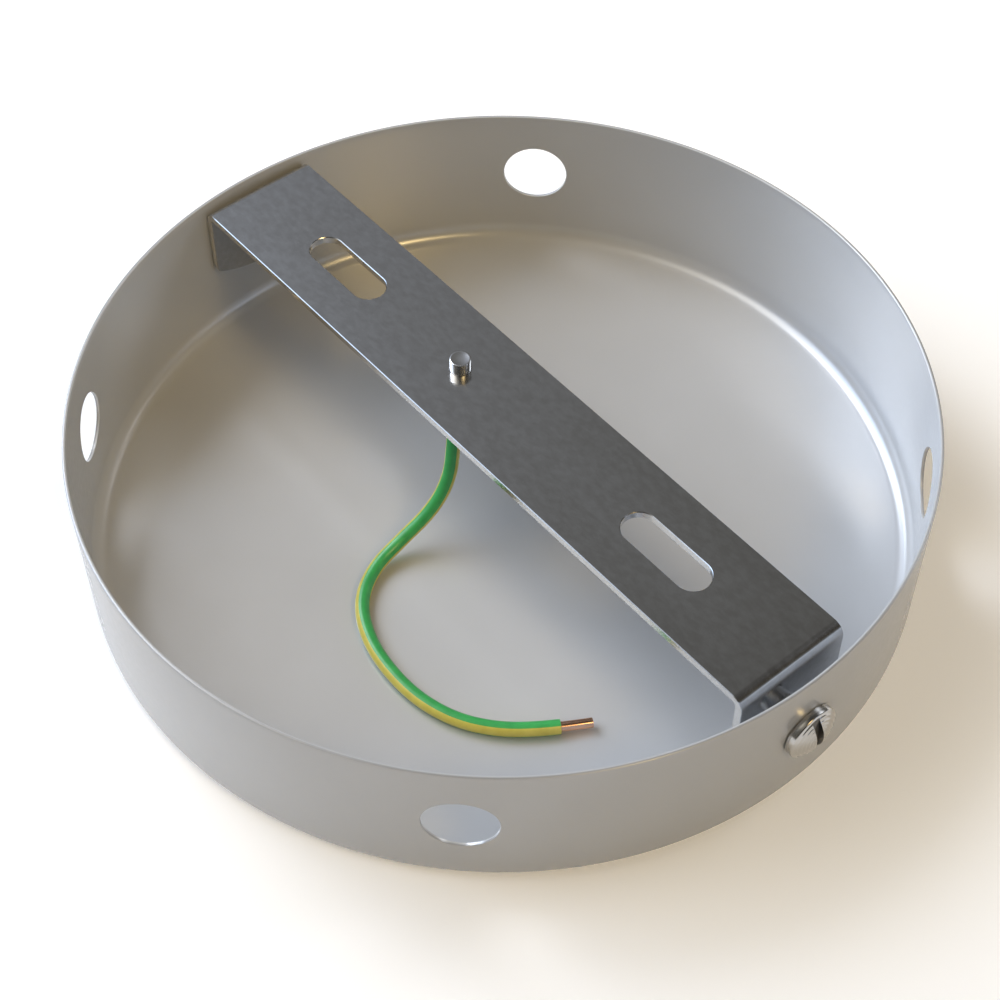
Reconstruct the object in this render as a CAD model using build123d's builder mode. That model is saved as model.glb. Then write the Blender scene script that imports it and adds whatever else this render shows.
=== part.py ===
"""Electrical ceiling rose: a shallow round metal canopy with its fixing bracket, side screws and earth wire.

Millimetres. The canopy's closed face lies on Z = 0 with its centre at the origin, and its open rim faces +Z,
towards the ceiling. The bracket runs along X.
"""
import os
from math import cos, pi, radians, sin, sqrt, tan

from build123d import *

os.makedirs("parts", exist_ok=True)

# Canopy: a drawn cup with cable outlets in its wall
canopy_diameter = 120.0
canopy_height = 25.0
canopy_wall = 0.5
canopy_corner_radius = 3.0
canopy_rim_break = 0.12
outlet_count = 4
outlet_diameter = 10.0
outlet_height = 13.7
outlet_first_angle = 45.0

# Bracket: a strap folded down at both ends, which hangs the canopy on two side screws
bracket_width = 18.0
bracket_thickness = 1.2
bracket_bend_radius = 0.6
bracket_rim_depth = 1.0
bracket_far_corner_gap = 0.11
bracket_near_gap = 3.2
bracket_edge_break = 0.1
flange_depth = 14.0
flange_end_radius = 20.0
flange_corner_radius = 1.0
slot_length = 15.2
slot_width = 5.2
slot_spacing = 68.2
collar_height = 1.0
collar_wall = 0.7

# Side screws: slotted pan heads
side_screw_diameter = 4.0
side_screw_length = 8.0
side_screw_drop = 9.8
side_screw_head_diameter = 8.0
side_screw_head_height = 2.4
side_screw_head_edge = 0.75
side_screw_slot_width = 1.2
side_screw_slot_depth = 1.0
side_screw_slot_turn = 7.0
side_screw_tip_chamfer = 0.5
side_hole_clearance = 0.25
thread_clearance = 0.05

# Earth point: a screw from below, tapped through the strap, clamps the washers and the ring terminal
earth_point_offset = 8.0
earth_screw_diameter = 3.0
earth_screw_stand = 2.0
earth_screw_tip_chamfer = 0.15
earth_screw_head_diameter = 5.5
earth_screw_head_height = 2.0
earth_screw_head_break = 0.4
earth_screw_slot_width = 0.8
earth_screw_slot_depth = 0.9
washer_clearance = 0.1
toothed_washer_thickness = 0.5
toothed_washer_diameter = 6.0
toothed_washer_teeth = 10
toothed_washer_gap_width = 0.6
toothed_washer_gap_depth = 0.7
plain_washer_thickness = 0.5
plain_washer_diameter = 6.0
spring_washer_thickness = 1.0
spring_washer_diameter = 5.6
spring_washer_slit = 0.6
spring_washer_slant = 0.5

# Ring terminal: a ring, a neck bent down and a barrel crimped on the wire
terminal_thickness = 0.8
terminal_ring_diameter = 6.0
terminal_neck_width = 2.4
terminal_neck_bend_radius = 0.5
terminal_heading = -48.0
barrel_slope = 60.0
barrel_start_reach = 4.6
barrel_start_drop = 1.4
barrel_diameter = 2.9
barrel_length = 3.4
barrel_entry = 0.8

# Earth wire: insulation over a solid conductor with a bare end. The route starts inside the barrel
wire_diameter = 2.1
conductor_diameter = 1.4
conductor_clearance = 0.02
wire_end_clearance = 0.02
bare_end_length = 4.5
wire_bend_radius = 9.0
wire_route = [
    (-5.856, -3.716, 19.81),
    (-4.25, -5.5, 15.653),
    (-3.1, -7.3, 11.0),
    (-3.1, -10.6, 6.6),
    (-4.0, -15.6, 3.0),
    (-3.4, -21.3, 1.6),
    (0.2, -26.5, 1.6),
    (6.2, -29.5, 1.6),
    (12.8, -30.5, 1.6),
    (19.5, -30.1, 1.6),
    (26.1, -27.5, 1.6),
    (32.1, -21.7, 1.6),
    (36.2, -14.5, 1.6),
]

# Places that follow from the sizes above
canopy_radius = canopy_diameter / 2
inner_radius = canopy_radius - canopy_wall
half_width = bracket_width / 2
bracket_top = canopy_height - bracket_rim_depth
bracket_underside = bracket_top - bracket_thickness
bracket_far_x = -sqrt((inner_radius - bracket_far_corner_gap) ** 2 - half_width**2)
bracket_near_x = inner_radius - bracket_near_gap
bracket_middle_x = (bracket_far_x + bracket_near_x) / 2
flange_bottom = bracket_top - flange_depth
side_screw_height = bracket_top - side_screw_drop
earth_x = bracket_middle_x - earth_point_offset
tapped_side_hole = side_screw_diameter + 2 * thread_clearance
tapped_earth_hole = earth_screw_diameter + 2 * thread_clearance
washer_hole = earth_screw_diameter + 2 * washer_clearance
toothed_washer_bottom = bracket_underside - toothed_washer_thickness
terminal_bottom = toothed_washer_bottom - terminal_thickness
terminal_middle = toothed_washer_bottom - terminal_thickness / 2
plain_washer_bottom = terminal_bottom - plain_washer_thickness
spring_washer_bottom = plain_washer_bottom - spring_washer_thickness


def side_plane(sign, x=0.0):
    """A plane across the side screws' axis, x from the middle, that faces out through the near or far wall."""
    return Plane(origin=(sign * x, 0, side_screw_height), x_dir=(0, sign, 0), z_dir=(sign, 0, 0))


def upright_plane(angle, x=0.0, z=0.0):
    """An upright plane whose first axis points away from (x, 0, z) at this angle and whose second is +Z."""
    heading = (cos(radians(angle)), sin(radians(angle)), 0)
    return Plane(origin=(x, 0, z), x_dir=heading, z_dir=(heading[1], -heading[0], 0))


# The terminal's barrel, in an upright plane through the earth screw
terminal_plane = upright_plane(terminal_heading, earth_x)
slope = radians(barrel_slope)
barrel_start = (barrel_start_reach, terminal_middle - barrel_start_drop)
neck_bend = (barrel_start_reach - barrel_start_drop / tan(slope), terminal_middle)
barrel_direction = terminal_plane.x_dir * cos(slope) - Vector(0, 0, sin(slope))
barrel_plane = Plane(origin=terminal_plane.from_local_coords(barrel_start), z_dir=barrel_direction)

# Canopy
with BuildPart() as canopy:
    with BuildSketch():
        Circle(canopy_radius)
    extrude(amount=canopy_height)
    fillet(canopy.edges().sort_by(Axis.Z)[0], canopy_corner_radius)
    offset(amount=-canopy_wall, openings=canopy.faces().sort_by(Axis.Z)[-1])
    chamfer(canopy.edges().group_by(Axis.Z)[-1], canopy_rim_break)
    for index in range(outlet_count):
        outlet_angle = outlet_first_angle + index * 360 / outlet_count
        outward = Vector(1, 0, 0).rotate(Axis.Z, outlet_angle)
        with BuildSketch(Plane(origin=(0, 0, outlet_height), z_dir=outward)):
            Circle(outlet_diameter / 2)
        extrude(amount=canopy_diameter, mode=Mode.SUBTRACT)
    for sign in (1, -1):
        with BuildSketch(side_plane(sign)):
            Circle(side_screw_diameter / 2 + side_hole_clearance)
        extrude(amount=canopy_diameter, mode=Mode.SUBTRACT)
canopy.part.label = "canopy"
export_step(canopy.part, "parts/canopy.step")

# Mounting bracket: the folded strip, trimmed to the flanges' curved ends, with slots and tapped holes
with BuildPart() as mounting_bracket:
    with BuildSketch(Plane.XZ):
        with BuildLine():
            outer_line = FilletPolyline(
                (bracket_far_x, flange_bottom),
                (bracket_far_x, bracket_top),
                (bracket_near_x, bracket_top),
                (bracket_near_x, flange_bottom),
                radius=bracket_bend_radius + bracket_thickness,
            )
            offset(outer_line, amount=bracket_thickness, side=Side.RIGHT)
        make_face()
    extrude(amount=half_width, both=True)
    for sign, flange_x in ((1, bracket_near_x), (-1, -bracket_far_x)):
        with BuildSketch(side_plane(sign, flange_x - bracket_thickness)):
            Circle(tapped_side_hole / 2 + collar_wall)
        extrude(amount=-collar_height)
    with BuildSketch(Plane.YZ):
        with BuildLine():
            shoulder = flange_bottom + flange_end_radius - sqrt(flange_end_radius**2 - half_width**2)
            Polyline(
                (half_width, shoulder),
                (half_width, bracket_top),
                (-half_width, bracket_top),
                (-half_width, shoulder),
            )
            ThreePointArc((-half_width, shoulder), (0, flange_bottom), (half_width, shoulder))
        end_face = make_face()
        lower_corners = end_face.vertices().sort_by(Axis.Y)[:2]
        fillet(lower_corners, flange_corner_radius)
    extrude(amount=canopy_radius, both=True, mode=Mode.INTERSECT)
    with BuildSketch(Plane.XY.offset(bracket_top)):
        with Locations((bracket_middle_x - slot_spacing / 2, 0), (bracket_middle_x + slot_spacing / 2, 0)):
            SlotOverall(slot_length, slot_width)
        with Locations((earth_x, 0)):
            Circle(tapped_earth_hole / 2)
    extrude(amount=-bracket_thickness, mode=Mode.SUBTRACT)
    for sign in (1, -1):
        with BuildSketch(side_plane(sign)):
            Circle(tapped_side_hole / 2)
        extrude(amount=canopy_diameter, mode=Mode.SUBTRACT)
    top_face = mounting_bracket.faces().sort_by(Axis.Z)[-1]
    slot_rims = [edge for wire in top_face.inner_wires() for edge in wire.edges()]
    long_edges = top_face.outer_wire().edges().filter_by(Axis.X)
    chamfer(long_edges + slot_rims, bracket_edge_break)
mounting_bracket.part.label = "mounting_bracket"
export_step(mounting_bracket.part, "parts/mounting_bracket.step")

# Side screws, through the canopy's wall into the flanges
head_top = canopy_radius + side_screw_head_height
head_edge = canopy_radius + side_screw_head_edge
head_radius = side_screw_head_diameter / 2
shank_radius = side_screw_diameter / 2
tip = canopy_radius - side_screw_length
dome_rise = side_screw_head_height - side_screw_head_edge
dome_radius = (head_radius**2 + dome_rise**2) / (2 * dome_rise)
for name, sign, heading in (("side_screw_near", 1, 0), ("side_screw_far", -1, 180)):
    with BuildPart() as side_screw:
        with BuildSketch(upright_plane(heading, 0, side_screw_height)):
            with BuildLine():
                Polyline(
                    (head_top, 0),
                    (tip, 0),
                    (tip, shank_radius - side_screw_tip_chamfer),
                    (tip + side_screw_tip_chamfer, shank_radius),
                    (canopy_radius, shank_radius),
                    (canopy_radius, head_radius),
                    (head_edge, head_radius),
                )
                RadiusArc((head_edge, head_radius), (head_top, 0), dome_radius)
            make_face()
        revolve(axis=Axis((0, 0, side_screw_height), (1, 0, 0)))
        with BuildSketch(side_plane(sign, head_top)):
            Rectangle(side_screw_slot_width, side_screw_head_diameter, rotation=side_screw_slot_turn)
        extrude(amount=-side_screw_slot_depth, mode=Mode.SUBTRACT)
    side_screw.part.label = name
    export_step(side_screw.part, f"parts/{name}.step")

# Earth screw, from below
with BuildPart() as earth_screw:
    screw_top = bracket_top + earth_screw_stand
    head_bottom = spring_washer_bottom - earth_screw_head_height
    with BuildSketch(upright_plane(0, earth_x)):
        with BuildLine():
            Polyline(
                (0, screw_top),
                (0, head_bottom),
                (earth_screw_head_diameter / 2, head_bottom),
                (earth_screw_head_diameter / 2, spring_washer_bottom),
                (earth_screw_diameter / 2, spring_washer_bottom),
                (earth_screw_diameter / 2, screw_top - earth_screw_tip_chamfer),
                (earth_screw_diameter / 2 - earth_screw_tip_chamfer, screw_top),
                close=True,
            )
        make_face()
    revolve(axis=Axis((earth_x, 0, 0), (0, 0, 1)))
    chamfer(earth_screw.edges().sort_by(Axis.Z)[0], earth_screw_head_break)
    with BuildSketch(Plane(origin=(earth_x, 0, head_bottom), z_dir=(0, 0, -1))):
        Rectangle(earth_screw_head_diameter, earth_screw_slot_width)
    extrude(amount=-earth_screw_slot_depth, mode=Mode.SUBTRACT)
earth_screw.part.label = "earth_screw"
export_step(earth_screw.part, "parts/earth_screw.step")

# Toothed washer against the strap
with BuildPart() as earth_toothed_washer:
    with BuildSketch(Plane(origin=(earth_x, 0, toothed_washer_bottom))):
        Circle(toothed_washer_diameter / 2)
        Circle(washer_hole / 2, mode=Mode.SUBTRACT)
        gap_reach = washer_hole / 2 + toothed_washer_gap_depth
        with PolarLocations(gap_reach / 2, toothed_washer_teeth):
            Rectangle(gap_reach, toothed_washer_gap_width, mode=Mode.SUBTRACT)
    extrude(amount=toothed_washer_thickness)
earth_toothed_washer.part.label = "earth_toothed_washer"
export_step(earth_toothed_washer.part, "parts/earth_toothed_washer.step")

# Washers below the terminal: a flat one, then a split spring washer on the screw's head
with BuildPart() as earth_plain_washer:
    with BuildSketch(Plane(origin=(earth_x, 0, plain_washer_bottom))):
        Circle(plain_washer_diameter / 2)
        Circle(washer_hole / 2, mode=Mode.SUBTRACT)
    extrude(amount=plain_washer_thickness)
earth_plain_washer.part.label = "earth_plain_washer"
export_step(earth_plain_washer.part, "parts/earth_plain_washer.step")

with BuildPart() as earth_spring_washer:
    with BuildSketch(Plane(origin=(earth_x, 0, spring_washer_bottom))):
        Circle(spring_washer_diameter / 2)
        Circle(washer_hole / 2, mode=Mode.SUBTRACT)
    extrude(amount=spring_washer_thickness)
    with BuildSketch(upright_plane(0, earth_x, spring_washer_bottom)):
        with BuildLine():
            Polyline(
                (-spring_washer_slit / 2 - spring_washer_slant, 0),
                (spring_washer_slit / 2 - spring_washer_slant, 0),
                (spring_washer_slit / 2 + spring_washer_slant, spring_washer_thickness),
                (-spring_washer_slit / 2 + spring_washer_slant, spring_washer_thickness),
                close=True,
            )
        make_face()
    extrude(amount=spring_washer_diameter, mode=Mode.SUBTRACT)
earth_spring_washer.part.label = "earth_spring_washer"
export_step(earth_spring_washer.part, "parts/earth_spring_washer.step")

# Ring terminal: the barrel's end wall carries the neck and stops the conductor
with BuildPart() as ring_terminal:
    with BuildSketch(Plane(origin=(earth_x, 0, terminal_bottom))):
        Circle(terminal_ring_diameter / 2)
    extrude(amount=terminal_thickness)
    with BuildSketch(terminal_plane):
        with BuildLine():
            neck_line = FilletPolyline(
                (0, terminal_middle),
                neck_bend,
                barrel_start,
                radius=terminal_neck_bend_radius,
            )
        trace(line_width=terminal_thickness)
    extrude(amount=terminal_neck_width / 2, both=True)
    with BuildSketch(barrel_plane):
        Circle(barrel_diameter / 2)
    extrude(amount=barrel_length)
    with BuildSketch(barrel_plane.offset(barrel_entry - wire_end_clearance)):
        Circle(conductor_diameter / 2 + conductor_clearance)
    extrude(amount=barrel_length, mode=Mode.SUBTRACT)
    with BuildSketch(Plane(origin=(earth_x, 0, terminal_bottom))):
        Circle(washer_hole / 2)
    extrude(amount=terminal_thickness, mode=Mode.SUBTRACT)
ring_terminal.part.label = "ring_terminal"
export_step(ring_terminal.part, "parts/ring_terminal.step")

# Earth wire
first_run = Vector(*wire_route[1]) - Vector(*wire_route[0])
last_run = Vector(*wire_route[-1]) - Vector(*wire_route[-2])
insulation_reach = barrel_length - barrel_entry + wire_end_clearance
insulation_start = Vector(*wire_route[0]) + first_run.normalized() * insulation_reach
insulation_end = Vector(*wire_route[-1]) - last_run.normalized() * bare_end_length

with BuildPart() as earth_wire:
    with BuildLine() as wire_path:
        FilletPolyline(insulation_start, *wire_route[1:-1], insulation_end, radius=wire_bend_radius)
    with BuildSketch(Plane(origin=insulation_start, z_dir=first_run)):
        Circle(wire_diameter / 2)
    sweep(path=wire_path.line)
earth_wire.part.label = "earth_wire"
export_step(earth_wire.part, "parts/earth_wire.step")
insulation_length = sum(edge.length for edge in wire_path.edges())
section_times_length = pi * wire_diameter**2 / 4 * insulation_length
print("insulation", round(insulation_length, 2), "mm long, volume", round(earth_wire.part.volume, 2))
print("section times length", round(section_times_length, 2))

# The conductor where it is stripped: the end crimped in the barrel and the bare end
with BuildPart() as earth_wire_conductor:
    with BuildSketch(Plane(origin=wire_route[0], z_dir=first_run)):
        Circle(conductor_diameter / 2)
    extrude(amount=insulation_reach)
    with BuildSketch(Plane(origin=insulation_end, z_dir=last_run)):
        Circle(conductor_diameter / 2)
    extrude(amount=bare_end_length)
earth_wire_conductor.part.label = "earth_wire_conductor"
export_step(earth_wire_conductor.part, "parts/earth_wire_conductor.step")
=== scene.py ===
"""Looks of the electrical ceiling rose: satin canopy, dull strap, bright screws and a striped earth wire.

The pieces are drawn in millimetres and scaled to metres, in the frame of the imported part: +Z towards the
ceiling, X along the bracket, origin in the closed face. The stage is in metres.
"""

import math

import bmesh
import bpy
from mathutils import Matrix, Vector
from mathutils.geometry import delaunay_2d_cdt


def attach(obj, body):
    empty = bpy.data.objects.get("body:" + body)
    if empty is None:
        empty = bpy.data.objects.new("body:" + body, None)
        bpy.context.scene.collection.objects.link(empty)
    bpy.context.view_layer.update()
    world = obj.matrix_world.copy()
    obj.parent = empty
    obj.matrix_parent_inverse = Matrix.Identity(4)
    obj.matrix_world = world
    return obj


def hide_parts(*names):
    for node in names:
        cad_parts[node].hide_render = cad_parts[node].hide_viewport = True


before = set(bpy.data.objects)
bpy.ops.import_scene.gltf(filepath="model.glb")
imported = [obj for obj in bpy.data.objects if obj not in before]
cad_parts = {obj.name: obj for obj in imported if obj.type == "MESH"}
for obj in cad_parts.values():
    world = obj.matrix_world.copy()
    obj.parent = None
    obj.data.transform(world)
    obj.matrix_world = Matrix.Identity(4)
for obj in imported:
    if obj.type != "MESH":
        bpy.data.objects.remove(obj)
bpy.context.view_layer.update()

MM = 0.001
# Distances in millimetres: points this close are joined, and lengths this close count as the same
WELD = 1e-5
TOLERANCE = 1e-6

# The photograph's camera, fitted to the picture: place and lens in millimetres, angles in radians
CAMERA_LENS = 71.124
CAMERA_PLACE = (139.019, -116.651, 226.856)
CAMERA_TURN = math.radians(50) + 0.0022566
CAMERA_TILT = 0.6821467
CAMERA_ROLL = -0.0015291

# Sizes in millimetres and angles in degrees, as in the part
CANOPY_RADIUS = 60.0
CANOPY_HEIGHT = 25.0
CANOPY_WALL = 0.5
CANOPY_CORNER = 3.0
OUTLET_RADIUS = 5.0
OUTLET_HEIGHT = 13.7
OUTLET_ANGLES = (45, 135, 225, 315)
SIDE_SCREW_HEIGHT = 14.2
SIDE_HOLE_RADIUS = 2.25
SIDE_HOLE_ANGLES = (0, 180)
STRAP_WIDTH = 18.0
STRAP_THICKNESS = 1.2
STRAP_BEND = 1.8
STRAP_BREAK = 0.1
STRAP_TOP = 24.0
STRAP_FAR_X = -58.704
STRAP_NEAR_X = 56.3
FLANGE_DEPTH = 14.0
FLANGE_END_RADIUS = 20.0
FLANGE_CORNER = 1.0
SLOT_LENGTH = 15.2
SLOT_WIDTH = 5.2
SLOT_SPACING = 68.2
EARTH_OFFSET = 8.0
STRAP_MIDDLE_X = (STRAP_FAR_X + STRAP_NEAR_X) / 2
EARTH_X = STRAP_MIDDLE_X - EARTH_OFFSET
EARTH_HOLE_RADIUS = 1.53
FLANGE_HOLE_RADIUS = 2.05
COLLAR_RADIUS = 2.75
COLLAR_HEIGHT = 1.0
SCREW_LENGTH = 8.0
SCREW_RADIUS = 2.0
HEAD_RADIUS = 4.0
HEAD_HEIGHT = 2.4
HEAD_EDGE = 1.1
HEAD_BREAK = 0.08
HEAD_SLOT_WIDTH = 1.2
HEAD_SLOT_DEPTH = 1.0
HEAD_SLOT_TURN = 7.0
THREAD_PITCH = 0.7
THREAD_DEPTH = 0.3
EARTH_SCREW_RADIUS = 1.5
EARTH_SCREW_TOP = 26.0
EARTH_HEAD_RADIUS = 2.75
EARTH_HEAD_TOP = 20.0
EARTH_HEAD_HEIGHT = 2.0
WIRE_DIAMETER = 2.1
CONDUCTOR_DIAMETER = 1.4
BARE_END = 4.5
INSULATION_START = 2.62
WIRE_ROUTE = [
    (-5.856, -3.716, 19.81),
    (-4.25, -5.5, 15.653),
    (-3.1, -7.3, 11.0),
    (-3.1, -10.6, 6.6),
    (-4.0, -15.6, 3.0),
    (-3.4, -21.3, 1.6),
    (0.2, -26.5, 1.6),
    (6.2, -29.5, 1.6),
    (12.8, -30.5, 1.6),
    (19.5, -30.1, 1.6),
    (26.1, -27.5, 1.6),
    (32.1, -21.7, 1.6),
    (36.2, -14.5, 1.6),
]


def add_camera():
    """The photograph's camera: it looks down at 51 degrees from between the near screw and the wire."""
    camera = bpy.data.objects.new("camera", bpy.data.cameras.new("camera"))
    bpy.context.collection.objects.link(camera)
    camera.data.sensor_width = 36
    camera.data.lens = CAMERA_LENS
    camera.data.clip_start = 0.01
    camera.data.clip_end = 50
    turn = Matrix.Rotation(CAMERA_TURN, 4, "Z")
    tilt = Matrix.Rotation(CAMERA_TILT, 4, "X")
    roll = Matrix.Rotation(CAMERA_ROLL, 4, "Z")
    place = Matrix.Translation(Vector(CAMERA_PLACE) * MM)
    camera.matrix_world = place @ turn @ tilt @ roll
    bpy.context.scene.camera = camera


def node(tree, kind, inputs=None, **settings):
    """A shader node with its settings and input values."""
    made = tree.nodes.new(kind)
    for name, value in settings.items():
        setattr(made, name, value)
    for name, value in (inputs or {}).items():
        made.inputs[name].default_value = value
    return made


def new_material(name, **values):
    """A material with a Principled shader, whose inputs are set by name, with underscores for spaces."""
    material = bpy.data.materials.new(name)
    material.use_nodes = True
    shader = material.node_tree.nodes["Principled BSDF"]
    for key, value in values.items():
        shader.inputs[key.replace("_", " ")].default_value = value
    return material, material.node_tree, shader


def place_in_mm(tree, stretch=(1, 1, 1), shift=(0, 0, 0)):
    """The place in the object's own space in millimetres, stretched and then shifted."""
    coordinates = node(tree, "ShaderNodeTexCoord")
    mapping = node(tree, "ShaderNodeMapping")
    mapping.inputs["Scale"].default_value = [value / MM for value in stretch]
    mapping.inputs["Location"].default_value = shift
    tree.links.new(coordinates.outputs["Object"], mapping.inputs["Vector"])
    return mapping.outputs["Vector"]


def noise_in_mm(tree, scale, detail, stretch=(1, 1, 1)):
    """Noise in the object's own space, with scale features to the millimetre."""
    noise = node(tree, "ShaderNodeTexNoise", {"Scale": scale, "Detail": detail})
    tree.links.new(place_in_mm(tree, stretch), noise.inputs["Vector"])
    return noise.outputs["Fac"]


def ramp(tree, source, stops):
    """A colour ramp from (position, colour) stops."""
    made = node(tree, "ShaderNodeValToRGB")
    elements = made.color_ramp.elements
    while len(elements) < len(stops):
        elements.new(0.5)
    for element, (position, colour) in zip(elements, stops):
        element.position = position
        element.color = (*colour, 1)
    tree.links.new(source, made.inputs["Fac"])
    return made.outputs["Color"]


def spread(tree, source, low, high, start=0.3, end=0.7):
    """Maps a value from between start and end to between low and high."""
    limits = {"From Min": start, "From Max": end, "To Min": low, "To Max": high}
    made = node(tree, "ShaderNodeMapRange", limits)
    tree.links.new(source, made.inputs["Value"])
    return made.outputs["Result"]


def bump(tree, shader, source, distance_mm, strength):
    """Adds a bump of this depth to the shader's normal."""
    made = node(tree, "ShaderNodeBump", {"Distance": distance_mm * MM, "Strength": strength})
    tree.links.new(source, made.inputs["Height"])
    tree.links.new(made.outputs["Normal"], shader.inputs["Normal"])


def vector_math(tree, operation, source, *constants):
    """The result of a vector operation on a link, with constants as its other inputs."""
    made = node(tree, "ShaderNodeVectorMath", dict(enumerate(constants, 1)), operation=operation)
    tree.links.new(source, made.inputs[0])
    return made.outputs["Value" if operation in ("LENGTH", "DOT_PRODUCT") else "Vector"]


# Painted shade: the canopy's outer skin is painted this much darker than its inner skin, standing in for the
# shade that falls on it
PAINTED_OUTER_SHADE = 0.69
SKIN_BLEND = 0.05


def painted_outside_shade(tree):
    """1 on the inner skin of the cup and the painted shade factor on its outer skin, which paints the outer
    skin darker as painted shade.

    The distance from the centre line of the cup's corner tells the skins apart, on the wall and on the closed
    face too.
    """
    place = place_in_mm(tree)
    axes = node(tree, "ShaderNodeSeparateXYZ")
    tree.links.new(place, axes.inputs["Vector"])
    radius = vector_math(tree, "LENGTH", vector_math(tree, "MULTIPLY", place, (1, 1, 0)))
    section = node(tree, "ShaderNodeCombineXYZ")
    tree.links.new(radius, section.inputs["X"])
    tree.links.new(axes.outputs["Z"], section.inputs["Y"])
    centre = (CANOPY_CORNER - CANOPY_RADIUS, CANOPY_CORNER, 0)
    past_centre = vector_math(tree, "MULTIPLY_ADD", section.outputs["Vector"], (1, -1, 0), centre)
    distance = vector_math(tree, "LENGTH", vector_math(tree, "MAXIMUM", past_centre, (0, 0, 0)))
    middle = CANOPY_CORNER - CANOPY_WALL / 2
    return spread(tree, distance, 1, PAINTED_OUTER_SHADE, middle - SKIN_BLEND, middle + SKIN_BLEND)


def canopy_metal():
    """Satin plated sheet: a fine even grain with faint cloudy patches, and painted shade that makes it darker
    outside.
    """
    material, tree, shader = new_material("canopy_metal", Metallic=0.2)
    clouds = noise_in_mm(tree, 0.05, 2.0)
    colour = ramp(tree, clouds, [(0.3, (0.565, 0.57, 0.58)), (0.7, (0.59, 0.597, 0.61))])
    shaded = node(tree, "ShaderNodeVectorMath", operation="SCALE")
    tree.links.new(colour, shaded.inputs["Vector"])
    # Painted shade: the outer skin's colour is scaled darker
    tree.links.new(painted_outside_shade(tree), shaded.inputs["Scale"])
    tree.links.new(shaded.outputs["Vector"], shader.inputs["Base Color"])
    grain = noise_in_mm(tree, 1.1, 2.0)
    tree.links.new(spread(tree, grain, 0.21, 0.26), shader.inputs["Roughness"])
    bump(tree, shader, clouds, 0.004, 0.5)
    return material


def strap_metal():
    """Zinc plated strip with faint blotches and fine rolling marks."""
    material, tree, shader = new_material("strap_metal", Metallic=1.0)
    blotches = noise_in_mm(tree, 1.1, 9.0, (0.6, 1, 1))
    colour = ramp(tree, blotches, [(0.35, (0.525, 0.52, 0.515)), (0.65, (0.575, 0.575, 0.575))])
    tree.links.new(colour, shader.inputs["Base Color"])
    tree.links.new(spread(tree, blotches, 0.15, 0.19), shader.inputs["Roughness"])
    grain = noise_in_mm(tree, 3.0, 2.0, (0.3, 1, 1))
    bump(tree, shader, grain, 0.0003, 0.4)
    return material


def bright_metal(name, colour, roughness):
    """Plated steel with faint polishing marks."""
    material, tree, shader = new_material(name, Metallic=1.0, Base_Color=(*colour, 1))
    marks = noise_in_mm(tree, 2.5, 3.0)
    tree.links.new(spread(tree, marks, roughness, roughness * 1.3), shader.inputs["Roughness"])
    bump(tree, shader, marks, 0.0005, 0.3)
    return material


def turned_chrome():
    """Bright plating with fine turning rings about the side screws' axis."""
    base_colour = (0.5, 0.49, 0.475, 1)
    material, tree, shader = new_material("screw_chrome", Metallic=1.0, Base_Color=base_colour)
    from_axis = place_in_mm(tree, (0, 1, 1), (0, 0, -SIDE_SCREW_HEIGHT))
    shape = {"wave_type": "RINGS", "rings_direction": "SPHERICAL"}
    rings = node(tree, "ShaderNodeTexWave", {"Scale": 0.6}, **shape)
    tree.links.new(from_axis, rings.inputs["Vector"])
    tree.links.new(spread(tree, rings.outputs["Fac"], 0.11, 0.16), shader.inputs["Roughness"])
    bump(tree, shader, rings.outputs["Fac"], 0.05, 1.0)
    return material


def plastic(name, light, dark):
    """Extruded insulation: a soft gloss with slight unevenness."""
    finish = {"Roughness": 0.38, "Coat_Weight": 0.25, "Coat_Roughness": 0.15}
    material, tree, shader = new_material(name, **finish)
    uneven = noise_in_mm(tree, 0.6, 2.0)
    tree.links.new(ramp(tree, uneven, [(0.3, dark), (0.7, light)]), shader.inputs["Base Color"])
    bump(tree, shader, uneven, 0.01, 0.4)
    return material


def copper():
    """Bare solid conductor with drawing lines."""
    material, tree, shader = new_material("bare_copper", Metallic=1.0)
    lines = noise_in_mm(tree, 1.6, 3.0, (1, 0.35, 2))
    colour = ramp(tree, lines, [(0.3, (0.76, 0.45, 0.31)), (0.7, (0.85, 0.54, 0.39))])
    tree.links.new(colour, shader.inputs["Base Color"])
    tree.links.new(spread(tree, lines, 0.13, 0.2), shader.inputs["Roughness"])
    bump(tree, shader, lines, 0.0008, 0.4)
    return material


def object_from(bm, name):
    """An object with a bmesh's faces. Frees the bmesh."""
    mesh = bpy.data.meshes.new(name)
    bm.to_mesh(mesh)
    bm.free()
    made = bpy.data.objects.new(name, mesh)
    bpy.context.collection.objects.link(made)
    return made


def finish_mesh(bm, name, materials, replaces, sharp_angle):
    """Turns a bmesh in millimetres into a piece that stands for the named nodes.

    Edges that bend by more than the sharp angle, in degrees, stay crisp.
    """
    bmesh.ops.remove_doubles(bm, verts=bm.verts, dist=WELD)
    bmesh.ops.recalc_face_normals(bm, faces=bm.faces)
    limit = math.radians(sharp_angle)
    for edge in bm.edges:
        edge.smooth = len(edge.link_faces) == 2 and edge.calc_face_angle(0) < limit
    for face in bm.faces:
        face.smooth = True
    bmesh.ops.scale(bm, vec=(MM, MM, MM), verts=bm.verts)
    piece = object_from(bm, name)
    for material in materials:
        piece.data.materials.append(material)
    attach(piece, "root")
    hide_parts(*replaces)
    return piece


def bridge(bm, lower, upper):
    """Quads between two closed rows of vertices with the same count."""
    count = len(lower)
    for index in range(count):
        after = (index + 1) % count
        bm.faces.new((lower[index], lower[after], upper[after], upper[index]))


def full_turn(count, start=0.0):
    """Angles evenly spaced over a whole turn, in radians."""
    return [start + 2 * math.pi * index / count for index in range(count)]


def on_cylinder(radius, angle, z):
    """A point on the upright cylinder about the origin, its angle in radians."""
    return (radius * math.cos(angle), radius * math.sin(angle), z)


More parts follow.
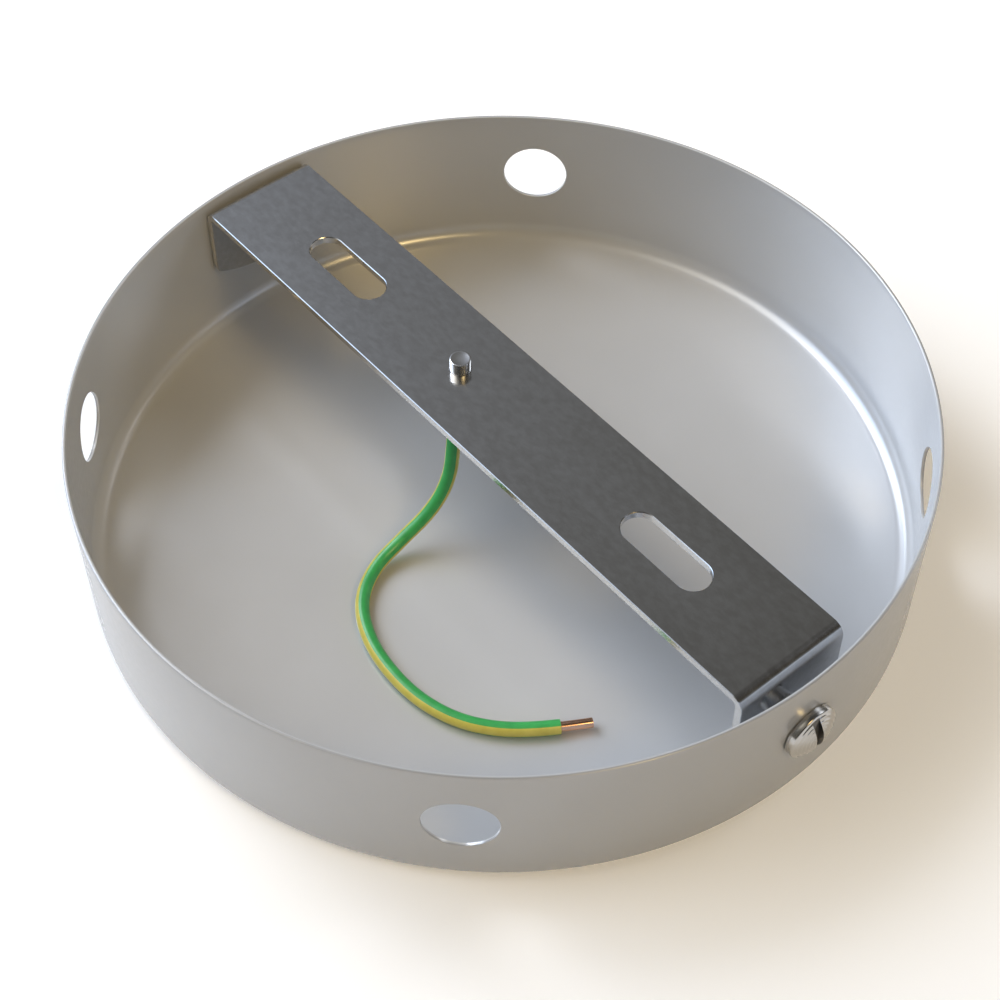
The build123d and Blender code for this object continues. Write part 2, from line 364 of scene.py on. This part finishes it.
# The canopy's columns are one degree wide
COLUMNS = 360
COLUMN_STEP = 2 * math.pi / COLUMNS
COLUMN_TURNS = [column * COLUMN_STEP for column in range(COLUMNS)]
WALL_ROWS = 22
# The sheet's rounded top edge
LIP_HEIGHT = 0.14
LIP_DEGREES = (25, 50, 90, 130, 155)
WALL_LOW = CANOPY_CORNER
WALL_HIGH = CANOPY_HEIGHT - LIP_HEIGHT
ROW_HEIGHT = (WALL_HIGH - WALL_LOW) / WALL_ROWS
# Room for the rings between a hole and its window in the grid, and how far across it each ring lies
HOLE_MARGIN = 2.4
HOLE_RING_SHARES = (0.3, 0.55, 0.78, 1.0)
HOLE_BREAK = 0.06
CORNER_STEP = 9
FACE_RINGS = (52, 42, 30, 18, 8, 2)


def wall_holes():
    """Each hole in the canopy's wall: its angle in degrees, height, radius, and its window in the grid.

    The window is half its width in columns, its first row and its last row.
    """
    holes = [(angle, OUTLET_HEIGHT, OUTLET_RADIUS) for angle in OUTLET_ANGLES]
    holes += [(angle, SIDE_SCREW_HEIGHT, SIDE_HOLE_RADIUS) for angle in SIDE_HOLE_ANGLES]
    for angle, height, radius in holes:
        reach = radius + HOLE_MARGIN
        half_columns = math.ceil(math.degrees(reach / CANOPY_RADIUS))
        first_row = math.floor((height - reach - WALL_LOW) / ROW_HEIGHT)
        last_row = math.ceil((height + reach - WALL_LOW) / ROW_HEIGHT)
        yield angle, height, radius, half_columns, first_row, last_row


def window_outline(left, right, first, last):
    """The grid points around a window, as (row, column), once round."""
    around = [(first, column) for column in range(left, right)]
    around += [(row, right) for row in range(first, last)]
    around += [(last, column) for column in range(right, left, -1)]
    around += [(row, left) for row in range(last, first, -1)]
    return around


def wall_surface(bm, radius, outward):
    """One skin of the wall: a grid with a window around each hole, filled by rings.

    Returns its lowest row, its highest row and the rims of its holes.
    """
    grid = []
    for row in range(WALL_ROWS + 1):
        z = WALL_LOW + row * ROW_HEIGHT
        grid.append([bm.verts.new(on_cylinder(radius, turn, z)) for turn in COLUMN_TURNS])
    skipped = set()
    rims = []
    for degrees, height, hole_radius, half, first, last in wall_holes():
        centre = math.radians(degrees)
        left = degrees - half
        right = degrees + half
        for row in range(first, last):
            skipped |= {(row, column % COLUMNS) for column in range(left, right)}
        around = window_outline(left, right, first, last)
        flat = []
        for row, column in around:
            across = radius * (column * COLUMN_STEP - centre)
            flat.append((across, WALL_LOW + row * ROW_HEIGHT - height))
        previous = [grid[row][column % COLUMNS] for row, column in around]
        edge = hole_radius + HOLE_BREAK
        for share in HOLE_RING_SHARES:
            ring = []
            for across, up in flat:
                turn = math.atan2(up, across)
                ring_across = across + (edge * math.cos(turn) - across) * share
                ring_up = up + (edge * math.sin(turn) - up) * share
                angle = centre + math.asin(ring_across / radius)
                ring.append(bm.verts.new(on_cylinder(radius, angle, height + ring_up)))
            bridge(bm, previous, ring)
            previous = ring
        depth = radius - HOLE_BREAK if outward else radius + HOLE_BREAK
        rim = []
        for across, up in flat:
            turn = math.atan2(up, across)
            angle = centre + math.asin(hole_radius * math.cos(turn) / depth)
            z = height + hole_radius * math.sin(turn)
            rim.append(bm.verts.new(on_cylinder(depth, angle, z)))
        bridge(bm, previous, rim)
        rims.append(rim)
    for row in range(WALL_ROWS):
        for column in range(COLUMNS):
            if (row, column) in skipped:
                continue
            after = (column + 1) % COLUMNS
            below, above = grid[row], grid[row + 1]
            bm.faces.new((below[column], below[after], above[after], above[column]))
    return grid[0], grid[-1], rims


def revolved_rows(bm, start, profile):
    """Rows of a revolved surface from an existing row through (radius, z) points. Returns the last row."""
    previous = start
    for radius, z in profile:
        row = [bm.verts.new(on_cylinder(radius, turn, z)) for turn in COLUMN_TURNS]
        bridge(bm, previous, row)
        previous = row
    return previous


def build_canopy(material):
    """The drawn cup, with its corner, its rounded sheet edge and the holes in its wall."""
    bm = bmesh.new()
    outer_low, outer_high, outer_rims = wall_surface(bm, CANOPY_RADIUS, True)
    inner_low, inner_high, inner_rims = wall_surface(bm, CANOPY_RADIUS - CANOPY_WALL, False)
    for outer_rim, inner_rim in zip(outer_rims, inner_rims):
        bridge(bm, outer_rim, inner_rim)
    half = CANOPY_WALL / 2
    middle = CANOPY_RADIUS - half
    lip = []
    for degrees in LIP_DEGREES:
        turn = math.radians(degrees)
        lip.append((middle + half * math.cos(turn), WALL_HIGH + LIP_HEIGHT * math.sin(turn)))
    last = revolved_rows(bm, outer_high, lip)
    bridge(bm, last, inner_high)
    centre_radius = CANOPY_RADIUS - CANOPY_CORNER
    for start, base in ((outer_low, 0), (inner_low, CANOPY_WALL)):
        corner = CANOPY_CORNER - base
        bend = []
        for degrees in range(CORNER_STEP, 90 + 1, CORNER_STEP):
            turn = math.radians(degrees)
            z = CANOPY_CORNER - corner * math.sin(turn)
            bend.append((centre_radius + corner * math.cos(turn), z))
        closed_face = [(radius, base) for radius in FACE_RINGS]
        last = revolved_rows(bm, start, bend + closed_face)
        bm.faces.new(last)
    return finish_mesh(bm, "canopy_shell", [material], ["canopy"], 25)


# The strap is drawn flat, as (along, across), and then folded
BEND_STEPS = 10
CORNER_POINTS = 5
END_STEPS = 12
SLOT_POINTS = 32
HOLE_POINTS = 40
FLANGE_FLAT = FLANGE_DEPTH - STRAP_BEND
BEND_LENGTH = STRAP_BEND * math.pi / 2
TOP_FLAT = STRAP_NEAR_X - STRAP_FAR_X - 2 * STRAP_BEND
STRAP_LENGTH = 2 * FLANGE_FLAT + 2 * BEND_LENGTH + TOP_FLAT


def fold(along, across, depth):
    """A point of the folded strip from its place on the flat strip and its depth below the outer face."""
    near = along > STRAP_LENGTH / 2
    distance = STRAP_LENGTH - along if near else along
    radius = STRAP_BEND - depth
    if distance <= FLANGE_FLAT:
        inward = depth
        z = STRAP_TOP - FLANGE_DEPTH + distance
    elif distance <= FLANGE_FLAT + BEND_LENGTH:
        turn = (distance - FLANGE_FLAT) / STRAP_BEND
        inward = STRAP_BEND - radius * math.cos(turn)
        z = STRAP_TOP - STRAP_BEND + radius * math.sin(turn)
    else:
        inward = STRAP_BEND + distance - FLANGE_FLAT - BEND_LENGTH
        z = STRAP_TOP - depth
    x = STRAP_NEAR_X - inward if near else STRAP_FAR_X + inward
    return (x, across, z)


def top_place(x):
    """The place along the flat strip of a point x on the strap's top."""
    return FLANGE_FLAT + BEND_LENGTH + x - STRAP_FAR_X - STRAP_BEND


def flange_end(inset):
    """A flange's lower edge from corner to corner, as (distance from the strip's end, across)."""
    big = FLANGE_END_RADIUS - inset
    small = FLANGE_CORNER - inset
    # The corner's arc touches the side and the end's arc
    reach = FLANGE_END_RADIUS - FLANGE_CORNER
    corner_across = STRAP_WIDTH / 2 - FLANGE_CORNER
    corner_turn = math.asin(corner_across / reach)
    corner_along = FLANGE_END_RADIUS - reach * math.cos(corner_turn)
    side = []
    for index in range(CORNER_POINTS):
        turn = math.pi / 2 - (math.pi / 2 - corner_turn) * index / (CORNER_POINTS - 1)
        along = corner_along - small * math.cos(turn)
        side.append((along, corner_across + small * math.sin(turn)))
    middle = []
    for index in range(1, END_STEPS):
        turn = corner_turn * (1 - 2 * index / END_STEPS)
        middle.append((FLANGE_END_RADIUS - big * math.cos(turn), big * math.sin(turn)))
    return side + middle + [(along, -across) for along, across in reversed(side)]


def strap_outline(inset):
    """The flat strip's outline, with points at the steps of its bends."""
    half = STRAP_WIDTH / 2 - inset
    steps = [FLANGE_FLAT + BEND_LENGTH * index / BEND_STEPS for index in range(BEND_STEPS + 1)]
    stations = steps + [STRAP_LENGTH - value for value in reversed(steps)]
    near_end = [(STRAP_LENGTH - along, across) for along, across in flange_end(inset)]
    far_end = [(along, -across) for along, across in flange_end(inset)]
    left = [(value, half) for value in stations]
    right = [(value, -half) for value in reversed(stations)]
    return far_end + left + near_end + right


def slot_outline(x, inset):
    """A slot with round ends on the strap's top, made larger by the inset."""
    radius = SLOT_WIDTH / 2 + inset
    straight = (SLOT_LENGTH - SLOT_WIDTH) / 2
    points = []
    for turn in full_turn(SLOT_POINTS, math.pi / SLOT_POINTS):
        shift = straight if math.cos(turn) > 0 else -straight
        along = top_place(x) + shift + radius * math.cos(turn)
        points.append((along, radius * math.sin(turn)))
    return points


def circle(radius):
    """Points around a circle about the origin."""
    return [(radius * math.cos(turn), radius * math.sin(turn)) for turn in full_turn(HOLE_POINTS)]


def hole_outline(along, radius, inset):
    """A round hole on the flat strip, made larger by the inset."""
    return [(along + across, up) for across, up in circle(radius + inset)]


def strap_loops(inset):
    """The outline and the holes of the flat strip."""
    side = SIDE_SCREW_HEIGHT - (STRAP_TOP - FLANGE_DEPTH)
    return [
        strap_outline(inset),
        slot_outline(STRAP_MIDDLE_X - SLOT_SPACING / 2, inset),
        slot_outline(STRAP_MIDDLE_X + SLOT_SPACING / 2, inset),
        hole_outline(top_place(EARTH_X), EARTH_HOLE_RADIUS, inset),
        hole_outline(side, FLANGE_HOLE_RADIUS, inset),
        hole_outline(STRAP_LENGTH - side, FLANGE_HOLE_RADIUS, inset),
    ]


def bend_lines(outline):
    """Pairs of outline points that face each other across the strip at the steps of its bends."""
    pairs = []
    for first, (along, _) in enumerate(outline):
        if not FLANGE_FLAT - TOLERANCE < along < STRAP_LENGTH - FLANGE_FLAT + TOLERANCE:
            continue
        for second in range(first + 1, len(outline)):
            if abs(along - outline[second][0]) < TOLERANCE:
                pairs.append((first, second))
    return pairs


def strap_face(bm, loops, depth):
    """Fills the flat strip between its outline and its holes, and folds it.

    Returns the vertices of each loop.
    """
    points = []
    spans = []
    for loop in loops:
        spans.append(range(len(points), len(points) + len(loop)))
        points += [Vector(point) for point in loop]
    edges = []
    for span in spans:
        edges += zip(span, [*span[1:], span[0]])
    edges += bend_lines(loops[0])
    places, _, faces, origins, _, _ = delaunay_2d_cdt(points, edges, [], 1, TOLERANCE)
    vertices = [bm.verts.new(fold(place.x, place.y, depth)) for place in places]
    # The filled strip's vertex for each point that went in
    owner = {source: index for index, sources in enumerate(origins) for source in sources}
    holes = [{owner[index] for index in span} for span in spans[1:]]
    for face in faces:
        if not any(set(face) <= hole for hole in holes):
            bm.faces.new([vertices[index] for index in face])
    return [[vertices[owner[index]] for index in span] for span in spans]


COLLAR_BREAK = 0.1
# The small fillet at the collar's foot: its reach, and how far its middle point stands off
COLLAR_FOOT = 0.3
COLLAR_FOOT_MIDDLE = 0.1


def add_collar(bm, face_x, inward):
    """A plunged collar on the inner face of a flange, open for its screw."""
    collar = [
        (FLANGE_HOLE_RADIUS, 0),
        (COLLAR_RADIUS + COLLAR_FOOT, 0),
        (COLLAR_RADIUS + COLLAR_FOOT_MIDDLE, COLLAR_FOOT_MIDDLE),
        (COLLAR_RADIUS, COLLAR_FOOT),
        (COLLAR_RADIUS, COLLAR_HEIGHT - COLLAR_BREAK),
        (COLLAR_RADIUS - COLLAR_BREAK, COLLAR_HEIGHT),
        (FLANGE_HOLE_RADIUS + COLLAR_BREAK, COLLAR_HEIGHT),
        (FLANGE_HOLE_RADIUS, COLLAR_HEIGHT - COLLAR_BREAK),
    ]
    rings = []
    for radius, distance in collar:
        x = face_x + inward * distance
        places = [(x, across, SIDE_SCREW_HEIGHT + up) for across, up in circle(radius)]
        rings.append([bm.verts.new(place) for place in places])
    for first, second in zip(rings, rings[1:] + rings[:1]):
        bridge(bm, first, second)


def build_strap(material):
    """The folded strip, its edges broken, with a plunged collar behind each tapped flange hole."""
    bm = bmesh.new()
    outer = strap_face(bm, strap_loops(STRAP_BREAK), 0)
    inner = strap_face(bm, strap_loops(STRAP_BREAK), STRAP_THICKNESS)
    inner_depth = STRAP_THICKNESS - STRAP_BREAK
    for index, loop in enumerate(strap_loops(0)):
        upper = [bm.verts.new(fold(along, across, STRAP_BREAK)) for along, across in loop]
        lower = [bm.verts.new(fold(along, across, inner_depth)) for along, across in loop]
        bridge(bm, outer[index], upper)
        bridge(bm, upper, lower)
        bridge(bm, lower, inner[index])
    add_collar(bm, STRAP_NEAR_X - STRAP_THICKNESS, -1)
    add_collar(bm, STRAP_FAR_X + STRAP_THICKNESS, 1)
    return finish_mesh(bm, "strap", [material], ["mounting_bracket"], 25)


def turned(bm, profile, segments=96):
    """A solid of revolution about Z from (radius, z) points that start and end on the axis."""
    rings = []
    for radius, z in profile:
        turns = full_turn(segments) if radius else [0.0]
        rings.append([bm.verts.new(on_cylinder(radius, turn, z)) for turn in turns])
    for first, second in zip(rings, rings[1:]):
        if len(first) == 1 or len(second) == 1:
            tip, ring = (first[0], second) if len(first) == 1 else (second[0], first)
            for index in range(segments):
                bm.faces.new((tip, ring[index], ring[(index + 1) % segments]))
        else:
            bridge(bm, first, second)


TIP_CHAMFER = 0.5
# Where the thread starts above the tip and ends below the head, and how much its crest is rounded
THREAD_START = 0.35
THREAD_END = 0.6
THREAD_CREST = 0.04
NECK_LENGTH = 0.3
DOME_STEPS = 14
# The dome's first point lies just inside the head's edge
DOME_SHARE = 0.985


def screw_profile():
    """Half section of a side screw, with its tip at the bottom and the head's underside at zero."""
    root = SCREW_RADIUS - THREAD_DEPTH
    profile = [(0, -SCREW_LENGTH), (SCREW_RADIUS - TIP_CHAMFER, -SCREW_LENGTH)]
    shoulder = SCREW_RADIUS - THREAD_CREST
    z = -SCREW_LENGTH + THREAD_START
    while z < -THREAD_END:
        # One groove and the crest above it
        profile += [
            (root, z),
            (shoulder, z + THREAD_PITCH * 0.4),
            (SCREW_RADIUS, z + THREAD_PITCH * 0.5),
            (shoulder, z + THREAD_PITCH * 0.6),
        ]
        z += THREAD_PITCH
    profile += [(root, -NECK_LENGTH), (root, 0)]
    profile += [(HEAD_RADIUS - HEAD_BREAK, 0), (HEAD_RADIUS, HEAD_BREAK)]
    profile.append((HEAD_RADIUS, HEAD_EDGE - HEAD_BREAK))
    rise = HEAD_HEIGHT - HEAD_EDGE
    radius = (HEAD_RADIUS**2 + rise**2) / (2 * rise)
    half_angle = math.asin(HEAD_RADIUS / radius)
    for index in range(DOME_STEPS + 1):
        turn = half_angle * (1 - index / DOME_STEPS) * DOME_SHARE
        profile.append((radius * math.sin(turn), HEAD_HEIGHT - radius + radius * math.cos(turn)))
    # The last point lies exactly on the axis
    profile[-1] = (0, HEAD_HEIGHT)
    return profile


CUTTER_HEIGHT = 4
CUTTER_LENGTH = 2.5 * HEAD_RADIUS
# Edges sharper than this many degrees are broken
SLOT_BREAK_ANGLE = 50
SLOT_BREAK = 0.05
# How far outside the slot the middle of a face may lie and still count as the slot's
SLOT_SIDE_MARGIN = 0.01
SLOT_FLOOR_MARGIN = 0.05


def evaluated_mesh(source):
    """A new mesh with everything that changes the object's shape applied."""
    bpy.context.view_layer.update()
    graph = bpy.context.evaluated_depsgraph_get()
    return bpy.data.meshes.new_from_object(source.evaluated_get(graph))


def cut_slot(blank):
    """Cuts the slot into the head of an upright screw and breaks the new edges."""
    bm = bmesh.new()
    bmesh.ops.create_cube(bm, size=1)
    size = Vector((HEAD_SLOT_WIDTH, CUTTER_LENGTH, CUTTER_HEIGHT))
    bmesh.ops.scale(bm, vec=size * MM, verts=bm.verts)
    cutter = object_from(bm, "cutter")
    height = HEAD_HEIGHT - HEAD_SLOT_DEPTH + CUTTER_HEIGHT / 2
    cutter.matrix_world = Matrix.Translation((0, 0, height * MM))
    cut = blank.modifiers.new("slot", "BOOLEAN")
    cut.operation = "DIFFERENCE"
    cut.solver = "EXACT"
    cut.object = cutter
    bevel = blank.modifiers.new("edge", "BEVEL")
    bevel.width = SLOT_BREAK * MM
    bevel.segments = 2
    bevel.limit_method = "ANGLE"
    bevel.angle_limit = math.radians(SLOT_BREAK_ANGLE)
    shaped = evaluated_mesh(blank)
    blank.modifiers.clear()
    blank.data = shaped
    bpy.data.objects.remove(cutter)


def in_slot(point):
    """Whether a point of the upright screw lies in its slot."""
    beside = abs(point.x) - HEAD_SLOT_WIDTH / 2
    below = HEAD_HEIGHT - HEAD_SLOT_DEPTH - point.z
    return beside < SLOT_SIDE_MARGIN and below < SLOT_FLOOR_MARGIN


def build_side_screw(name, sign, plating, painted_slot_shade):
    """A slotted pan head screw through the canopy's wall, with a dark material inside its slot as painted
    shade.
    """
    bm = bmesh.new()
    turned(bm, screw_profile())
    bmesh.ops.recalc_face_normals(bm, faces=bm.faces)
    bmesh.ops.scale(bm, vec=(MM, MM, MM), verts=bm.verts)
    blank = object_from(bm, name + "_blank")
    cut_slot(blank)
    out = Vector((sign, 0, 0))
    side = Matrix.Rotation(math.radians(HEAD_SLOT_TURN), 3, out) @ Vector((0, sign, 0))
    up = out.cross(side)
    place = Matrix((side, up, out)).transposed().to_4x4()
    place.translation = Vector((sign * CANOPY_RADIUS, 0, SIDE_SCREW_HEIGHT))
    bm = bmesh.new()
    bm.from_mesh(blank.data)
    bmesh.ops.scale(bm, vec=(1 / MM, 1 / MM, 1 / MM), verts=bm.verts)
    # Faces in the slot take the dark second material: painted shade in the recess
    for face in bm.faces:
        face.material_index = int(in_slot(face.calc_center_median()))
    bmesh.ops.transform(bm, matrix=place, verts=bm.verts)
    bpy.data.objects.remove(blank)
    return finish_mesh(bm, name + "_turned", [plating, painted_slot_shade], [name], 35)


# Roundings of the earth screw's head and tip, as (in from the side, off the end face)
EARTH_HEAD_ROUND = ((0.4, 0), (0.1, 0.15), (0, 0.4))
EARTH_HEAD_BREAK = 0.1
EARTH_TIP_ROUND = ((0, 0.12), (0.04, 0.03), (0.12, 0), (0.25, 0.02))
# The dish in its tip, as (radius, depth)
EARTH_TIP_DISH = ((0.8, 0.09), (0.35, 0.12), (0, 0.12))


def build_earth_screw(material):
    """The earth screw: its slightly dished end stands out of the strap."""
    underside = EARTH_HEAD_TOP - EARTH_HEAD_HEIGHT
    profile = [(0, underside)]
    profile += [(EARTH_HEAD_RADIUS - inward, underside + up) for inward, up in EARTH_HEAD_ROUND]
    profile.append((EARTH_HEAD_RADIUS, EARTH_HEAD_TOP - EARTH_HEAD_BREAK))
    profile.append((EARTH_HEAD_RADIUS - EARTH_HEAD_BREAK, EARTH_HEAD_TOP))
    profile.append((EARTH_SCREW_RADIUS, EARTH_HEAD_TOP))
    for inward, down in EARTH_TIP_ROUND:
        profile.append((EARTH_SCREW_RADIUS - inward, EARTH_SCREW_TOP - down))
    profile += [(radius, EARTH_SCREW_TOP - down) for radius, down in EARTH_TIP_DISH]
    bm = bmesh.new()
    turned(bm, profile, 72)
    bmesh.ops.translate(bm, vec=(EARTH_X, 0, 0), verts=bm.verts)
    return finish_mesh(bm, "earth_screw_turned", [material], ["earth_screw"], 35)


def route_points():
    """Points along the wire's smooth line, read from its spline."""
    curve = bpy.data.curves.new("wire_route", "CURVE")
    curve.dimensions = "3D"
    curve.resolution_u = 10
    spline = curve.splines.new("NURBS")
    spline.points.add(len(WIRE_ROUTE) - 1)
    for point, place in zip(spline.points, WIRE_ROUTE):
        point.co = (*place, 1)
    spline.order_u = 3
    spline.use_endpoint_u = True
    holder = bpy.data.objects.new("wire_route", curve)
    bpy.context.collection.objects.link(holder)
    points = [vertex.co.copy() for vertex in evaluated_mesh(holder).vertices]
    bpy.data.objects.remove(holder)
    return points


def reaches(points):
    """The distance along a line to each of its points."""
    reach = [0.0]
    for first, second in zip(points, points[1:]):
        reach.append(reach[-1] + (second - first).length)
    return reach


def point_at(points, reach, distance):
    """The point at this distance along a line."""
    for index in range(len(points) - 1):
        if reach[index + 1] >= distance:
            share = (distance - reach[index]) / (reach[index + 1] - reach[index])
            return points[index].lerp(points[index + 1], share)
    return points[-1]


# A line's own points this close to a cut, in millimetres, are left out
CUT_MARGIN = 1e-4


def trimmed(points, skip_start, skip_end):
    """The line without its first and last stretch, cut at exact distances."""
    reach = reaches(points)
    low = skip_start
    high = reach[-1] - skip_end
    inner = []
    for point, distance in zip(points, reach):
        if low + CUT_MARGIN < distance < high - CUT_MARGIN:
            inner.append(point)
    return [point_at(points, reach, low)] + inner + [point_at(points, reach, high)]


def tube_frames(points):
    """Two side directions at each point of a line, carried along without twist."""
    tangents = []
    for index in range(len(points)):
        before = points[max(index - 1, 0)]
        after = points[min(index + 1, len(points) - 1)]
        tangents.append((after - before).normalized())
    side = tangents[0].cross(Vector((0, 0, 1))).normalized()
    frames = []
    for index, tangent in enumerate(tangents):
        if index:
            side = tangents[index - 1].rotation_difference(tangent) @ side
        side = (side - tangent * side.dot(tangent)).normalized()
        frames.append((side, tangent.cross(side)))
    return frames


TUBE_SEGMENTS = 28
# How much a tube's end is rounded: inwards from its side, and past its last point
TUBE_END_INSET = 0.12
TUBE_END_LENGTH = 0.08
# Two yellow stripes on opposite sides of the wire, each this many segments wide
STRIPE_START = math.radians(-30)
STRIPE_WIDTH = 6
# Conductor that runs on into the insulation
HIDDEN_CONDUCTOR = 1


def tube(bm, points, radius, striped):
    """A round tube along a line with slightly rounded ends. Striped faces take the second material."""
    frames = tube_frames(points)
    turns = full_turn(TUBE_SEGMENTS, STRIPE_START)
    start_cap = points[0] - (points[1] - points[0]).normalized() * TUBE_END_LENGTH
    end_cap = points[-1] + (points[-1] - points[-2]).normalized() * TUBE_END_LENGTH
    sections = [(start_cap, frames[0], radius - TUBE_END_INSET)]
    sections += [(point, sides, radius) for point, sides in zip(points, frames)]
    sections.append((end_cap, frames[-1], radius - TUBE_END_INSET))
    rows = []
    for centre, (side, up), size in sections:
        row = []
        for turn in turns:
            offset = size * (side * math.cos(turn) + up * math.sin(turn))
            row.append(bm.verts.new(centre + offset))
        rows.append(row)
    half_turn = TUBE_SEGMENTS // 2
    for first, second in zip(rows, rows[1:]):
        for step in range(TUBE_SEGMENTS):
            after = (step + 1) % TUBE_SEGMENTS
            face = bm.faces.new((first[step], first[after], second[after], second[step]))
            if striped and step % half_turn < STRIPE_WIDTH:
                face.material_index = 1
    bm.faces.new(rows[0])
    bm.faces.new(rows[-1])


def build_wire(green, yellow, bare):
    """The earth wire: striped insulation and the conductor's bare ends."""
    line = route_points()
    total = reaches(line)[-1]
    covered = trimmed(line, INSULATION_START, BARE_END)
    bm = bmesh.new()
    tube(bm, covered, WIRE_DIAMETER / 2, True)
    colours = [green, yellow]
    insulation = finish_mesh(bm, "wire_insulation", colours, ["earth_wire"], 40)
    bm = bmesh.new()
    in_terminal = trimmed(line, 0, total - INSULATION_START - HIDDEN_CONDUCTOR)
    bare_end = trimmed(line, total - BARE_END - HIDDEN_CONDUCTOR, TUBE_END_LENGTH)
    tube(bm, in_terminal, CONDUCTOR_DIAMETER / 2, False)
    tube(bm, bare_end, CONDUCTOR_DIAMETER / 2, False)
    conductor = finish_mesh(bm, "wire_conductor", [bare], ["earth_wire_conductor"], 40)
    [value * MM for value in covered[0]]
    [[value * MM for value in point] for point in covered]


def dress(name, material):
    """Gives a material to a CAD node that keeps its own mesh."""
    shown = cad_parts[name]
    shown.data.materials.clear()
    shown.data.materials.append(material)


def add_area(name, place, size, power, colour):
    """A round area light that points at the origin."""
    data = bpy.data.lights.new(name, "AREA")
    data.shape = "DISK"
    data.size = size
    data.energy = power
    data.color = colour
    lamp = bpy.data.objects.new(name, data)
    bpy.context.collection.objects.link(lamp)
    lamp.location = place
    lamp.rotation_euler = (-Vector(place)).to_track_quat("-Z", "Y").to_euler()


FLOOR_HALF_WIDTH = 30
# Soft glows of the studio's sky: their direction, how tight they are and their colour. As the picture shows
# them, the cool ones are left and right, the warm one is high on the left and the golden one in front
SKY_GLOWS = [
    ((0.0, 0.0, 1.0), 2, (0.06, 0.058, 0.055)),
    ((-0.48, 0.40, 0.78), 12, (0.10, 0.10, 0.095)),
    ((-0.80, 0.02, 0.60), 12, (0.30, 0.33, 0.40)),
    ((-0.75, -0.45, 0.50), 12, (2.1, 2.8, 3.9)),
    ((-0.42, -0.48, 0.77), 20, (3.0, 2.75, 2.3)),
    ((0.62, -0.04, 0.78), 100, (18.0, 13.0, 5.8)),
    ((0.87, 0.42, 0.22), 60, (2.4, 2.7, 3.2)),
    ((0.97, 0.0, 0.24), 6, (0.15, 0.14, 0.12)),
    ((0.0, 0.97, 0.24), 6, (0.17, 0.16, 0.14)),
    ((-0.97, 0.0, 0.24), 6, (0.17, 0.16, 0.14)),
    ((0.0, -0.97, 0.24), 6, (0.15, 0.14, 0.12)),
    ((0.15, 0.80, 0.58), 60, (3.6, 3.8, 4.1)),
]


def add_floor():
    """A wide pale floor that glows a little, which keeps the shadows light."""
    bm = bmesh.new()
    bmesh.ops.create_grid(bm, x_segments=1, y_segments=1, size=FLOOR_HALF_WIDTH)
    floor = object_from(bm, "floor")
    material, _, _ = new_material(
        "floor_white",
        Roughness=0.9,
        Base_Color=(0.89, 0.888, 0.886, 1),
        Emission_Color=(1.0, 0.94, 0.86, 1),
        Emission_Strength=0.18,
    )
    floor.data.materials.append(material)


def add_sky():
    """A dark sky with the soft glows, which the metal reflects."""
    world = bpy.data.worlds.new("studio")
    bpy.context.scene.world = world
    world.use_nodes = True
    tree = world.node_tree
    coordinates = node(tree, "ShaderNodeTexCoord")
    total = None
    for direction, tightness, colour in SKY_GLOWS:
        towards = vector_math(tree, "DOT_PRODUCT", coordinates.outputs["Generated"], direction)
        positive = node(tree, "ShaderNodeMath", {1: 0}, operation="MAXIMUM")
        tree.links.new(towards, positive.inputs[0])
        glow = node(tree, "ShaderNodeMath", {1: tightness}, operation="POWER")
        tree.links.new(positive.outputs["Value"], glow.inputs[0])
        part = node(tree, "ShaderNodeVectorMath", {0: colour}, operation="SCALE")
        tree.links.new(glow.outputs["Value"], part.inputs["Scale"])
        if total:
            added = node(tree, "ShaderNodeVectorMath", operation="ADD")
            tree.links.new(total, added.inputs[0])
            tree.links.new(part.outputs["Vector"], added.inputs[1])
            part = added
        total = part.outputs["Vector"]
    tree.links.new(total, tree.nodes["Background"].inputs["Color"])


def add_stage():
    """The floor, the sky and two soft lights from the left."""
    add_floor()
    add_sky()
    add_area("key", (-0.56, -0.08, 0.65), size=0.40, power=2.4, colour=(0.95, 0.98, 1.04))
    add_area("low_key", (-0.80, -0.12, 0.34), size=0.3, power=0.9, colour=(0.90, 0.95, 1.0))
    bpy.context.scene.view_settings.view_transform = "Standard"


def main():
    """Builds the pieces, dresses the nodes that stay, and sets the stage."""
    add_camera()
    chrome = turned_chrome()
    # A dark steel colour for the inside of the screw slots: painted shade
    painted_slot_shade = bright_metal("slot_painted_shade", (0.13, 0.125, 0.12), 0.3)
    steel = bright_metal("washer_steel", (0.55, 0.55, 0.56), 0.29)
    tin = bright_metal("terminal_tin", (0.68, 0.68, 0.66), 0.31)
    build_canopy(canopy_metal())
    build_strap(strap_metal())
    build_side_screw("side_screw_near", 1, chrome, painted_slot_shade)
    build_side_screw("side_screw_far", -1, chrome, painted_slot_shade)
    build_earth_screw(bright_metal("earth_screw_zinc", (0.74, 0.74, 0.75), 0.15))
    build_wire(
        plastic("insulation_green", (0.05, 0.42, 0.10), (0.035, 0.34, 0.08)),
        plastic("insulation_yellow", (0.62, 0.55, 0.10), (0.54, 0.47, 0.07)),
        copper(),
    )
    for name in ("earth_toothed_washer", "earth_plain_washer", "earth_spring_washer"):
        dress(name, steel)
    dress("ring_terminal", tin)
    add_stage()


main()
